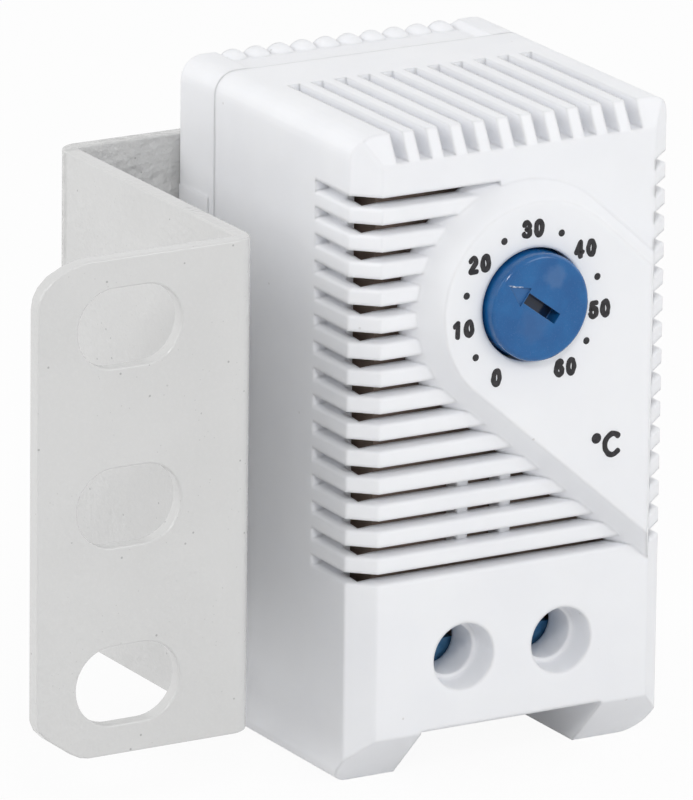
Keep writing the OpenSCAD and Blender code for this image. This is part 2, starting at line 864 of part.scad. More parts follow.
module shell_holes() {
    rod_y(0, dial_z, dial_y - over, front_wall + over, knob_hole_r);
    rod_y(0, dial_z, dial_y + dial_t, front_wall + over, pocket_r);
    for (s = sides) {
        cone_y(s * term_x, term_z, -over, access_mouth, access_r + over / 4, access_in_r + over);
        rod_y(s * term_x, term_z, front_wall / 2, access_end + over, access_in_r);
        box(s * term_x - entry_w / 2, s * term_x + entry_w / 2,
            bar_y + bar_t - play, bar_y + bar_t - play + entry_d,
            channel_h - over, floor_z + over);
        box(s > 0 ? half_w - side_wall - over : -half_w + side_wall - barb_out - barb_play,
            s > 0 ? half_w - side_wall + barb_out + barb_play : -half_w + side_wall + over,
            shell_d - rim_in + barb_w / 2 - barb_play, shell_d - rim_in + barb_w * 3 / 2 + barb_play,
            bracket_mid - barb_len / 2 - barb_play, bracket_mid + barb_len / 2 + barb_play);
    }
    for (p = post_places)
        rod_y(p[0], p[1], pilot_rest, frame_y + over, pilot_r);
}

// White rear base with the rail claws
module rear_base() {
    y0 = shell_d + seam_gap;
    inner = half_w - side_wall;
    rim_x = inner - rim_play;
    rim_low = floor_z + rim_play;
    rim_top = roof_z - rim_play;
    color("white")
        place() {
            difference() {
                union() {
                    along_y(y0, rear_y - rear_bevel)
                        body_outline(0);
                    hull() {
                        along_y(rear_y - rear_bevel - seam_gap, rear_y - rear_bevel)
                            body_outline(0);
                        along_y(rear_y - seam_gap, rear_y)
                            body_outline(rear_bevel);
                    }
                    box(-half_w - step_t, half_w + step_t, y0 + rear_bevel, rear_y - rear_bevel,
                        edge_r + foot_h, step_z);
                    box(-rim_x, rim_x, shell_d - rim_in, y0 + over, rim_low, rim_top);
                    for (s = sides)
                        box(s > 0 ? rim_x - over : -inner - barb_out,
                            s > 0 ? inner + barb_out : -rim_x + over,
                            shell_d - rim_in + barb_w / 2, shell_d - rim_in + barb_w * 3 / 2,
                            bracket_mid - barb_len / 2, bracket_mid + barb_len / 2);
                    rail_claws();
                }
                box(-rim_x + rim_t, rim_x - rim_t, y0 - over, rear_y - side_wall,
                    rim_low + rim_t, rim_top - rim_t);
                box(-rim_x + rim_t, rim_x - rim_t, shell_d - rim_in - over, y0,
                    rim_low - over, rim_top + over);
                box(-channel_w / 2, channel_w / 2, y0 - over, rear_y + over, -over, channel_h);
                bead_band(y0 - over, rear_y + over);
                arm_slits();
            }
            for (i = [1:groove_count - 1])
                bead(groove_x(i) - groove_pitch / 2);
            for (s = sides)
                for (z = hold_places)
                    rod_y(s * hold_x, z, frame_back, rear_y - side_wall / 2, hold_r);
        }
}

// Cut that lowers the top between the outermost valleys, with sloped ends
module bead_band(y0, y1) {
    half = groove_x(groove_count - 1);
    slope = body_h + over - band_z;
    along_y(y0, y1)
        polygon([[-half, band_z], [half, band_z],
            [half + slope, body_h + over], [-half - slope, body_h + over]]);
}

// One bead with a ball-shaped front end, lying in the rear upper edge
module bead(x) {
    translate([x, rear_y - rear_bevel, body_h - bead_drop - bead_r])
        rotate([90, 0, 0])
            rotate_extrude($fn = round_fn)
                polygon(concat([[0, -bead_len], [bead_r, -bead_len]],
                    arc(0, 0, bead_r, 0, 90, arc_steps)));
}

module rail_claws() {
    up = rail_up + play;
    down = rail_down - play;
    for (s = sides)
        along_x(s * claw_x - claw_w / 2, s * claw_x + claw_w / 2)
            polygon([[rear_y - side_wall / 2, up], [lip_y, up], [lip_y, up - claw_lip - play],
                [claw_back, up - claw_lip / 2], [claw_back, up + claw_t / 2],
                [claw_back - claw_t / 2, up + claw_t], [rear_y - side_wall / 2, up + claw_t]]);
    along_x(-tongue_w / 2, tongue_w / 2)
        polygon([[rear_y - side_wall / 2, down], [lip_y, down], [lip_y, down + claw_lip + play],
            [claw_back, down], [claw_back, down - claw_t], [rear_y - side_wall / 2, down - claw_t]]);
}

module arm_slits() {
    down = rail_down - play - claw_t;
    for (s = sides)
        box(s > 0 ? tongue_w / 2 : -tongue_w / 2 - slit_w,
            s > 0 ? tongue_w / 2 + slit_w : -tongue_w / 2,
            rear_y - side_wall - over, rear_y + over, down - slit_w, down + arm_len);
    box(-tongue_w / 2 - slit_w, tongue_w / 2 + slit_w, rear_y - side_wall - over, rear_y + over,
        down - slit_w, down);
}

// Blue setting knob with screwdriver slot, pointer, collar and threaded hub
module adjusting_knob() {
    color("royalblue")
        place()
            translate([0, 0, dial_z])
                rotate([0, knob_set, 0])
                    difference() {
                        rotate([90, 0, 0])
                            rotate_extrude($fn = round_fn * 2)
                                polygon([[0, -hub_back], [hub_r, -hub_back], [hub_r, -collar_back],
                                    [collar_r, -collar_back], [collar_r, -collar_y],
                                    [knob_r, -collar_y],
                                    for (p = edge_shares)
                                        [knob_r - knob_edge * p[0], -knob_y - knob_edge * p[1]],
                                    [0, -knob_y]]);
                        rod_y(0, 0, bore_front, hub_back + over, bore_r);
                        box(-drive_w / 2, drive_w / 2, knob_y - over, knob_y + drive_deep,
                            -drive_len / 2, drive_len / 2);
                        along_y(knob_y - over, knob_y + pointer_deep)
                            polygon([[-pointer_w / 2, pointer_base], [pointer_w / 2, pointer_base],
                                [0, pointer_tip]]);
                    }
}

// Threaded plunger that the knob drives to and fro
module setting_plunger() {
    color("goldenrod")
        place() {
            rod_y(0, dial_z, plunger_front, head_y + head_t / 2, plunger_r);
            box(-plunger_half, plunger_half, head_y, head_y + head_t,
                dial_z - plunger_half, dial_z + plunger_half);
            rod_y(0, dial_z, head_y + head_t / 2, head_y + head_t + nose_len - nose_r / 2, nose_r);
            cone_y(0, dial_z, head_y + head_t + nose_len - nose_r / 2, head_y + head_t + nose_len,
                nose_r, nose_r / 2);
        }
}

// Brown moulded frame with the switch room above and the terminal block below
module switch_frame() {
    half = frame_w / 2;
    color("saddlebrown")
        place()
            difference() {
                union() {
                    difference() {
                        box(-half, half, frame_y, frame_back, frame_floor - floor_t, frame_top);
                        box(-half + frame_wall, half - frame_wall, frame_y + frame_t,
                            frame_back + over, frame_floor, frame_top - frame_wall);
                    }
                    box(-block_w / 2, block_w / 2, block_y, frame_back, block_low,
                        frame_floor - floor_t / 2);
                    rod_y(0, low_post_z, frame_y, frame_y + frame_t, tab_half);
                    box(-tab_half, tab_half, frame_y, frame_y + frame_t, low_post_z, frame_floor);
                    box(-half + frame_wall / 2, half - frame_wall / 2, bridge_y, bridge_y + bridge_t,
                        magnet_z - bridge_half, magnet_z + bridge_half);
                    for (s = sides)
                        box(s > 0 ? plunger_half + play : -plunger_half - play - guide_t,
                            s > 0 ? plunger_half + play + guide_t : -plunger_half - play,
                            frame_y + frame_t / 2, head_y + head_t,
                            dial_z - guide_half, dial_z + guide_half);
                }
                rod_y(0, dial_z, frame_y - over, frame_y + frame_t + over, hub_r + turn_play);
                for (s = sides) {
                    box(s * term_x - room_half, s * term_x + room_half, block_y + block_front_t,
                        room_back, block_low - over, frame_floor - floor_t);
                    rod_y(s * term_x, term_z, block_y - over, block_y + block_front_t + over, neck_r);
                    box(s * term_x - bar_w / 2 - pass_gap, s * term_x + bar_w / 2 + pass_gap,
                        bar_y - pass_gap, bar_y + bar_t + pass_gap,
                        frame_floor - floor_t - over, frame_floor + over);
                }
                for (p = post_places)
                    rod_y(p[0], p[1], frame_y - over, frame_y + frame_t + over, fix_r + fix_play);
                for (s = sides)
                    rod_y(s * rivet_x, pivot_z, frame_y - over, frame_y + frame_t + over, rivet_r);
                rod_y(0, magnet_z, bridge_y - over, bridge_y + bridge_t + over, magnet_r * 2 / 3);
            }
}

// Steel lever that the plunger pushes and that carries the bimetal strip
module setting_lever() {
    color("silver")
        place()
            difference() {
                union() {
                    box(-lever_half, lever_half, lever_y, lever_y + lever_t, lever_low,
                        pivot_z + ear_r / 2);
                    for (s = sides) {
                        rod_x(pivot_y, pivot_z, s > 0 ? lever_half - ear_t : -lever_half,
                            s > 0 ? lever_half : -lever_half + ear_t, ear_r);
                        box(s > 0 ? lever_half - ear_t : -lever_half,
                            s > 0 ? lever_half : -lever_half + ear_t,
                            pivot_y, lever_y + lever_t / 2, pivot_z - ear_r, pivot_z + ear_r / 2);
                    }
                }
                rod_x(pivot_y, pivot_z, -lever_half - over, lever_half + over, pivot_r + turn_play);
                rod_y(0, dial_z, lever_y - over, lever_y + lever_t + over, cal_r);
                for (s = sides)
                    rod_y(s * bimetal_rivet_x, bimetal_rivet_z, lever_y - over,
                        lever_y + lever_t + over, rivet_r);
            }
}

module calibration_screw() {
    color("gold")
        place()
            difference() {
                rod_y(0, dial_z, lever_y, lever_y + cal_len, cal_r);
                box(-cal_r - over, cal_r + over, lever_y + cal_len - cal_slot_deep,
                    lever_y + cal_len + over, dial_z - cal_slot_w / 2, dial_z + cal_slot_w / 2);
            }
}

module lever_pin() {
    color("lightgray")
        place()
            rod_x(pivot_y, pivot_z, -ear_x - ear_t - pivot_r / 2, ear_x + ear_t + pivot_r / 2, pivot_r);
}

module pivot_bracket() {
    back = frame_y + frame_t;
    color("silver")
        place()
            difference() {
                union() {
                    box(-ear_x - ear_t, ear_x + ear_t, back, back + pivot_t,
                        pivot_z - ear_r, pivot_z + ear_r);
                    for (s = sides) {
                        x0 = s > 0 ? ear_x : -ear_x - ear_t;
                        rod_x(pivot_y, pivot_z, x0, x0 + ear_t, ear_r);
                        box(x0, x0 + ear_t, back + pivot_t / 2, pivot_y,
                            pivot_z - ear_r, pivot_z + ear_r);
                    }
                }
                rod_x(pivot_y, pivot_z, -ear_x - ear_t - over, ear_x + ear_t + over, pivot_r);
                for (s = sides)
                    rod_y(s * rivet_x, pivot_z, back - over, back + pivot_t + over, rivet_r);
            }
}

module pivot_rivets() {
    back = frame_y + frame_t;
    color("lightgray")
        place()
            for (s = sides) {
                rod_y(s * rivet_x, pivot_z, frame_y, back + pivot_t + rivet_head_h / 2, rivet_r);
                rod_y(s * rivet_x, pivot_z, back + pivot_t, back + pivot_t + rivet_head_h,
                    rivet_head_r);
            }
}

module return_leaf() {
    top = frame_top - frame_wall;
    color("lightsteelblue")
        place() {
            box(-leaf_half, leaf_half, leaf_y, leaf_y + leaf_t, leaf_low, top);
            box(-leaf_half, leaf_half, leaf_y, leaf_y + leaf_foot, top - leaf_t, top);
        }
}

module bimetal_strip() {
    front = lever_y + lever_t;
    color("peru")
        place()
            difference() {
                box(-bimetal_half, bimetal_half, front, front + bimetal_t, bimetal_low,
                    lever_low + bimetal_root);
                for (s = sides)
                    rod_y(s * bimetal_rivet_x, bimetal_rivet_z, front - over,
                        front + bimetal_t + over, rivet_r);
                rod_y(0, contact_z, front - over, front + bimetal_t + over, contact_shank_r);
            }
}

module bimetal_rivets() {
    color("lightgray")
        place()
            for (s = sides) {
                rod_y(s * bimetal_rivet_x, bimetal_rivet_z, lever_y,
                    bimetal_back + rivet_head_h / 2, rivet_r);
                rod_y(s * bimetal_rivet_x, bimetal_rivet_z, bimetal_back,
                    bimetal_back + rivet_head_h, rivet_head_r);
            }
}

module armature_plate() {
    color("dimgray")
        place()
            box(-armature_half, armature_half, bimetal_back, bimetal_back + armature_t,
                magnet_z - armature_half, magnet_z + armature_half);
}

module moving_contact() {
    front = bimetal_back - bimetal_t;
    color("gainsboro")
        place() {
            rod_y(0, contact_z, bimetal_back, bimetal_back + contact_out, contact_r);
            rod_y(0, contact_z, front, bimetal_back + contact_out / 2, contact_shank_r);
            rod_y(0, contact_z, front - rivet_head_h, front, rivet_head_r);
        }
}

module fixed_contact() {
    color("gainsboro")
        place() {
            rod_y(0, contact_z, contact_face, bar_y, contact_r);
            rod_y(0, contact_z, contact_face + fixed_out / 2, bar_y + bar_t, contact_shank_r);
            rod_y(0, contact_z, bar_y + bar_t, bar_y + bar_t + rivet_head_h, rivet_head_r);
        }
}

module snap_magnet() {
    color("darkslategray")
        place() {
            rod_y(0, magnet_z, magnet_y, bridge_y, magnet_r);
            rod_y(0, magnet_z, (magnet_y + bridge_y) / 2, bridge_y + bridge_t, magnet_r * 2 / 3);
        }
}

// Metal bars from the terminals to the switch
module left_bar() {
    z0 = frame_floor + bar_step;
    z1 = z0 + bar_step;
    x0 = left_bar_x;
    color("darkgoldenrod")
        place() {
            along_y(bar_y, bar_y + bar_t)
                polygon([[-term_x - bar_w / 2, bar_low], [-term_x + bar_w / 2, bar_low],
                    [-term_x + bar_w / 2, z0], [x0 + upright_w, z1],
                    [x0 + upright_w, left_bar_top], [x0, left_bar_top],
                    [x0, z1], [-term_x - bar_w / 2, z0]]);
            box(x0, x0 + upright_w, frame_y + frame_t + pivot_t, bar_y + bar_t / 2,
                left_bar_top - lug_h, left_bar_top);
            box(x0, -ear_x - ear_t + lug_in, frame_y + frame_t,
                frame_y + frame_t + pivot_t, left_bar_top - lug_h, left_bar_top);
        }
}

module right_bar() {
    z0 = contact_z - arm_h / 2;
    color("darkgoldenrod")
        place()
            difference() {
                along_y(bar_y, bar_y + bar_t)
                    polygon([[term_x - bar_w / 2, bar_low], [term_x + bar_w / 2, bar_low],
                        [term_x + bar_w / 2, contact_z + arm_h / 2],
                        [-arm_past, contact_z + arm_h / 2], [-arm_past, z0],
                        [term_x - bar_w / 2, z0]]);
                rod_y(0, contact_z, bar_y - over, bar_y + bar_t + over, contact_shank_r);
            }
}

// Terminal screw and clamp cage, both used left and right
module terminal_screw(s) {
    x = s * term_x;
    color("steelblue")
        place()
            difference() {
                union() {
                    rod_y(x, term_z, screw_y, screw_neck, screw_head_r);
                    rod_y(x, term_z, screw_neck - over, screw_end - screw_r / 3, screw_r);
                    cone_y(x, term_z, screw_end - screw_r / 3, screw_end, screw_r, screw_r * 2 / 3);
                }
                box(x - screw_head_r - over, x + screw_head_r + over, screw_y - over,
                    screw_y + screw_slot_deep, term_z - screw_slot_w / 2, term_z + screw_slot_w / 2);
            }
}

module clamp_cage(s) {
    x = s * term_x;
    color("silver")
        place()
            difference() {
                box(x - cage_w / 2, x + cage_w / 2, cage_y, cage_back, cage_low, cage_low + cage_h);
                box(x - cage_w / 2 + cage_wall, x + cage_w / 2 - cage_wall, cage_y + cage_front,
                    cage_in, cage_low - over, cage_low + cage_h + over);
                rod_y(x, term_z, cage_y - over, cage_y + cage_front + over, screw_r + turn_play);
            }
}

module left_terminal_screw() {
    terminal_screw(-1);
}

module right_terminal_screw() {
    terminal_screw(1);
}

module left_clamp_cage() {
    clamp_cage(-1);
}

module right_clamp_cage() {
    clamp_cage(1);
}

// Two screws that fix the switch frame on the shell's posts
module frame_screws() {
    back = frame_y + frame_t;
    color("lightgray")
        place()
            for (p = post_places)
                difference() {
                    union() {
                        rod_y(p[0], p[1], pilot_rest + over, back + fix_head_h / 2, fix_r);
                        rod_y(p[0], p[1], back, back + fix_head_h, fix_head_r);
                    }
                    box(p[0] - fix_head_r - over, p[0] + fix_head_r + over,
                        back + fix_head_h - fix_slot_deep, back + fix_head_h + over,
                        p[1] - fix_slot_w / 2, p[1] + fix_slot_w / 2);
                }
}

// Bent steel bracket: slotted flange in front, web, and rear plate with the rail tongue
module mounting_bracket() {
    top = bracket_low + bracket_h;
    y0 = flange_set;
    y1 = plate_y + sheet_t;
    in_r = bend_r - sheet_t;
    wx = web_x + sheet_t;
    color("lightgray")
        place()
            difference() {
                along_z(bracket_low, top)
                    polygon(concat(
                        [[flange_x, y0]],
                        arc(wx - bend_r, y0 + bend_r, bend_r, 270, 360, arc_steps),
                        arc(wx + in_r, y1 - sheet_t - in_r, in_r, 180, 90, arc_steps),
                        [[tongue_end, y1 - sheet_t], [tongue_end, y1]],
                        arc(web_x + bend_r, y1 - bend_r, bend_r, 90, 180, arc_steps),
                        arc(web_x - in_r, y0 + sheet_t + in_r, in_r, 0, -90, arc_steps),
                        [[flange_x, y0 + sheet_t]]));
                flange_cuts();
                tongue_cuts();
            }
}

module flange_cuts() {
    top = bracket_low + bracket_h;
    x0 = flange_x + hole_in;
    half = (hole_len - hole_w) / 2;
    y0 = flange_set - over;
    y1 = flange_set + sheet_t + over;
    for (i = [-1:1]) {
        z = bracket_mid + i * hole_pitch;
        rod_y(x0 - half, z, y0, y1, hole_w / 2);
        rod_y(x0 + half, z, y0, y1, hole_w / 2);
        box(x0 - half, x0 + half, y0, y1, z - hole_w / 2, z + hole_w / 2);
    }
    along_y(y0, y1)
        polygon(concat([for (p = low_cut_shares)
            [flange_x + p[0] * cut_x, bracket_low + p[1] * cut_z]],
            [[flange_x + cut_x, bracket_low - over], [flange_x - over, bracket_low - over],
            [flange_x - over, bracket_low + cut_z]]));
    along_y(y0, y1)
        polygon(concat([for (p = up_cut_shares)
            [flange_x + p[0] * cut_x, top - p[1] * cut_z]],
            [[flange_x - over, top - cut_z], [flange_x - over, top + over],
            [flange_x + cut_x, top + over]]));
}

module tongue_cuts() {
    top = bracket_low + bracket_h;
    y0 = plate_y - over;
    y1 = plate_y + sheet_t + over;
    along_y(y0, y1)
        polygon([[shoulder_x, rail_up], [tongue_end - tongue_bevel, rail_up],
            [tongue_end + over, rail_up - tongue_bevel - over], [tongue_end + over, top + over],
            [shoulder_x, top + over]]);
    along_y(y0, y1)
        polygon([[shoulder_x, rail_down], [shoulder_x, bracket_low - over],
            [tongue_end + over, bracket_low - over],
            [tongue_end + over, rail_down + tongue_bevel + over],
            [tongue_end - tongue_bevel, rail_down]]);
}

// Each piece is drawn when it is asked for
front_shell();
rear_base();
adjusting_knob();
setting_plunger();
switch_frame();
setting_lever();
calibration_screw();
lever_pin();
pivot_bracket();
pivot_rivets();
return_leaf();
bimetal_strip();
bimetal_rivets();
armature_plate();
moving_contact();
fixed_contact();
snap_magnet();
left_bar();
right_bar();
left_terminal_screw();
right_terminal_screw();
left_clamp_cage();
right_clamp_cage();
frame_screws();
mounting_bracket();
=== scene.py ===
"""Looks of a small enclosure thermostat: white slatted body, blue dial knob and grey steel bracket.

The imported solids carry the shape. This script gives every piece its finish, prints the dial
and sets up the camera, the lamps and the floor.
"""

import json
import math

import bpy
from mathutils import Euler, Matrix, Vector, noise


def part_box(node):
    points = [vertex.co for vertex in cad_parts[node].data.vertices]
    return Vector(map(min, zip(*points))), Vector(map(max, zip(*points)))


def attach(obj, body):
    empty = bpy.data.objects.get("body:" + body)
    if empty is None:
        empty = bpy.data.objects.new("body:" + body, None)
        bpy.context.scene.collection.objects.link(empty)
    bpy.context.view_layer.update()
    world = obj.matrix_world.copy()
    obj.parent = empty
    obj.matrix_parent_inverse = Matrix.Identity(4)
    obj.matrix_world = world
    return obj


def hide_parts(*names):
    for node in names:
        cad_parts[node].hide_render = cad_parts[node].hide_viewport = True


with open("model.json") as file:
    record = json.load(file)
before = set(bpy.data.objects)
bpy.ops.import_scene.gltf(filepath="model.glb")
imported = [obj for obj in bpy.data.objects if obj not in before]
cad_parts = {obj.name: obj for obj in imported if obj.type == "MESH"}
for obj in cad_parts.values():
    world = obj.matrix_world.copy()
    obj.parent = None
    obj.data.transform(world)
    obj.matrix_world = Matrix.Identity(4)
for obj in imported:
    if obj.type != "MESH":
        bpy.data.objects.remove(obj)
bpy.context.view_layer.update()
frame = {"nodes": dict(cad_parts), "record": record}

MM = 0.001

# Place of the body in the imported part: middle of the body, front face and ground
BODY_X = 15.815
FRONT_Y = -16.775
DIAL_FACE_Y = -2.5
DIAL_Z = 44.2


def at(x, y, z):
    """A point given in millimetres from the middle of the body's front face."""
    return Vector(((x + BODY_X) * MM, (y + FRONT_Y) * MM, z * MM))


# Shader maths


class Value:
    """One socket of a node tree. Sums and products of it add Math nodes."""

    def __init__(self, tree, socket):
        self.tree = tree
        self.socket = socket

    def math(self, operation, *others):
        sockets = dict(enumerate((self,) + others))
        return self.tree.node("ShaderNodeMath", {"operation": operation}, sockets)

    def __add__(self, other):
        return self.math("ADD", other)

    __radd__ = __add__

    def __mul__(self, other):
        return self.math("MULTIPLY", other)

    __rmul__ = __mul__

    def __sub__(self, other):
        return self.math("SUBTRACT", other)

    def __rsub__(self, other):
        return self.tree.node("ShaderNodeMath", {"operation": "SUBTRACT"}, {0: other, 1: self})

    def __pow__(self, other):
        return self.math("POWER", other)

    def __abs__(self):
        return self.math("ABSOLUTE")

    def over(self, low, high):
        """0 under low, 1 over high and a smooth ramp between them."""
        settings = {"interpolation_type": "SMOOTHSTEP"}
        sockets = {"Value": self, "From Min": low, "From Max": high}
        return self.tree.node("ShaderNodeMapRange", settings, sockets)


class Nodes:
    """A node tree, with one method that adds any node."""

    def __init__(self, node_tree):
        self.nodes = node_tree.nodes
        self.links = node_tree.links

    def node(self, kind, settings=None, sockets=None, out=0):
        new = self.nodes.new(kind)
        for key, value in (settings or {}).items():
            setattr(new, key, value)
        for key, value in (sockets or {}).items():
            self.feed(new.inputs[key], value)
        return Value(self, new.outputs[out])

    def feed(self, socket, value):
        if isinstance(value, Value):
            self.links.new(value.socket, socket)
        else:
            socket.default_value = value

    def shows_white(self):
        """1 for rays that are shown the white background: direct, mirrored or through glass."""
        seen = self.node("ShaderNodeLightPath", out="Is Camera Ray")
        for ray in ("Is Glossy Ray", "Is Transmission Ray"):
            seen = seen.math("MAXIMUM", self.node("ShaderNodeLightPath", out=ray))
        return seen


# The two colour inputs and the colour output of a Mix node
MIX_LOW, MIX_HIGH, MIX_OUT = 6, 7, 2
EDGE_SAMPLES = 6


class Finish(Nodes):
    """A material made of nodes, with its patterns measured in millimetres."""

    def __init__(self, name, view_colour):
        self.material = bpy.data.materials.new(name)
        self.material.use_nodes = True
        self.material.diffuse_color = (*view_colour, 1)
        super().__init__(self.material.node_tree)
        self.shader = self.nodes["Principled BSDF"]
        self.place = self.node("ShaderNodeTexCoord", out="Object")

    def set(self, **sockets):
        """Sets or links the sockets of the finish itself; a name's underscore is a space."""
        for key, value in sockets.items():
            self.feed(self.shader.inputs[key.replace("_", " ")], value)
        return self

    def moved(self, shift, stretch=(1, 1, 1)):
        """The part's coordinates, shifted alike along all axes and stretched."""
        sockets = {"Vector": self.place, "Location": (shift, shift, shift), "Scale": stretch}
        return self.node("ShaderNodeMapping", {}, sockets)

    def noise(self, size, detail=2.0, rough=0.5, stretch=(1, 1, 1), shift=0.0):
        """Cloudy pattern whose patches are about size millimetres across."""
        sockets = {"Vector": self.moved(shift, stretch), "Scale": 1 / (size * MM)}
        sockets.update({"Detail": detail, "Roughness": rough})
        return self.node("ShaderNodeTexNoise", {}, sockets)

    def axis(self, letter):
        """One coordinate of the part, in millimetres."""
        return self.node("ShaderNodeSeparateXYZ", {}, {"Vector": self.place}, out=letter) * (1 / MM)

    def cells(self, size, shift=0.0):
        """Distance to scattered points that lie about size millimetres apart."""
        sockets = {"Vector": self.moved(shift), "Scale": 1 / (size * MM)}
        return self.node("ShaderNodeTexVoronoi", {}, sockets, out="Distance")

    def mix(self, mask, low, high):
        """Colour low where the mask is 0 and colour high where it is 1."""
        low = low if isinstance(low, Value) else (*low, 1)
        high = high if isinstance(high, Value) else (*high, 1)
        sockets = {"Factor": mask, MIX_LOW: low, MIX_HIGH: high}
        return self.node("ShaderNodeMix", {"data_type": "RGBA"}, sockets, out=MIX_OUT)

    def bump(self, height, depth, soft_edge=0.0, strength=1.0):
        """Small relief of depth millimetres, on edges that are softened over soft_edge millimetres."""
        sockets = {"Height": height, "Distance": depth * MM, "Strength": strength}
        if soft_edge:
            settings = {"samples": EDGE_SAMPLES}
            sockets["Normal"] = self.node("ShaderNodeBevel", settings, {"Radius": soft_edge * MM})
        return self.set(Normal=self.node("ShaderNodeBump", {}, sockets))


def moulded_white(name, tone, seed):
    """Spark-eroded white housing plastic."""
    f = Finish(name, tone)
    cloud = f.noise(9, 3, shift=seed)
    grain = f.noise(0.22, 2, 0.7, shift=seed)
    speck = 1 - f.cells(2.6, seed).over(0.035, 0.06)
    shade = f.mix(cloud.over(0.35, 0.7), tone, [c * 0.975 for c in tone])
    shade = f.mix(speck * f.noise(5, 1, shift=seed + 3).over(0.55, 0.6) * 0.35, shade, (0.45, 0.43, 0.4))
    f.set(Base_Color=shade, Roughness=0.4 + cloud * 0.07 + grain * 0.05, Specular_IOR_Level=0.45)
    f.set(Subsurface_Weight=0.3, Subsurface_Radius=(1.0, 0.97, 0.93), Subsurface_Scale=0.9 * MM)
    f.bump(grain, 0.006, soft_edge=0.5, strength=0.6)
    return f.material


# The knob's pointer mark: its turn from the top, tip and base from the axis, and half width
POINTER_TURN = math.radians(-53.5)
POINTER_TIP, POINTER_BASE, POINTER_HALF = 4.1, 2.05, 0.95
# The screwdriver slot's half length and half width, and the depths between which its painted shade deepens
SLOT_HALF, SLOT_SIDE, SLOT_LIP, SLOT_DARK = 1.975, 0.53, 0.1, 0.35
# Painted reflections on the knob's face, lighter soft patches that stand in for lamp reflections: to the
# right of the axis and above it, radius, strength and colour
PAINTED_REFLECTIONS = ((1.34, 2.76, 1.4, 0.55, (0.07, 0.165, 0.36)), (-0.8, -1.4, 2.0, 0.22, (0.07, 0.14, 0.3)))


def pointer_masks(f):
    """Masks of the pointer's dull floor and of the white line on its upper edge, a whitened burr with
    painted highlight, and distances across and along its line.
    """
    x, z = f.axis("X") - BODY_X, f.axis("Z") - DIAL_Z
    across = x * math.cos(POINTER_TURN) - z * math.sin(POINTER_TURN)
    along = x * math.sin(POINTER_TURN) + z * math.cos(POINTER_TURN)
    rise = POINTER_TIP - POINTER_BASE
    slant = math.hypot(rise, POINTER_HALF)
    outside = abs(across) * (rise / slant) + (along - POINTER_TIP) * (POINTER_HALF / slant)
    front = along.over(POINTER_BASE - 0.1, POINTER_BASE + 0.1)
    dull = front * (1 - outside.over(-0.12, 0.0))
    worn = f.noise(0.35, 2, 0.6, shift=4).over(0.4, 0.56)
    upper = across.over(-0.05, 0.1) * along.over(2.8, 3.1)
    burr_and_highlight = (1 - abs(outside).over(0.03, 0.13)) * upper * worn
    return dull, burr_and_highlight, across, along


def painted_reflection_mask(f, x, z, radius):
    """Mask of a soft-edged painted reflection on the knob's face, at x and z from its axis."""
    off = ((f.axis("X") - (BODY_X + x)) ** 2 + (f.axis("Z") - (DIAL_Z + z)) ** 2) ** 0.5
    ragged = off + (f.noise(1.3, 2, 0.6, shift=21) - 0.5) * radius
    return 1 - ragged.over(radius * 0.45, radius)


def knob_plastic():
    """Glossy blue plastic: fine mottling, lighter patches of painted reflection, painted shade in the slot
    and a dull pointer whose upper edge has a white burr with painted highlight.
    """
    f = Finish("knob_blue", (0.03, 0.14, 0.42))
    flow = f.noise(2.4, 3, 0.6)
    pigment = f.noise(0.12, 2, 0.8)
    shade = f.mix(flow.over(0.3, 0.75), (0.001, 0.09, 0.288), (0.004, 0.122, 0.35))
    shade = f.mix(pigment.over(0.56, 0.74) * 0.5, shade, (0.05, 0.16, 0.4))
    dull, burr_and_highlight, across, along = pointer_masks(f)
    shade = f.mix(dull * 0.45, shade, (0.045, 0.14, 0.33))
    # Lighter patches of painted reflection on the face
    for x, z, radius, share, spot in PAINTED_REFLECTIONS:
        shade = f.mix(painted_reflection_mask(f, x, z, radius) * share, shade, spot)
    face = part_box("adjusting_knob")[0][1] / MM
    # Painted shade in the slot: the colour darkens with depth below the face, where shade falls
    slot_painted_shade = 1 - abs(across).over(SLOT_SIDE - 0.02, SLOT_SIDE + 0.06)
    slot_painted_shade = slot_painted_shade * f.axis("Y").over(face + SLOT_LIP, face + SLOT_DARK)
    slot_painted_shade = slot_painted_shade * (1 - abs(along).over(SLOT_HALF - 0.12, SLOT_HALF - 0.04))
    shade = f.mix(slot_painted_shade * 0.88, shade, (0.006, 0.012, 0.035))
    # White line on the pointer's upper edge: a whitened burr with painted highlight
    shade = f.mix(burr_and_highlight, shade, (0.75, 0.8, 0.88))
    f.set(Base_Color=shade, Roughness=0.1 + flow * 0.08 + dull * 0.25, Specular_IOR_Level=0.48)
    f.bump(flow + pigment * 0.15, 0.006, soft_edge=0.12, strength=0.4)
    return f.material


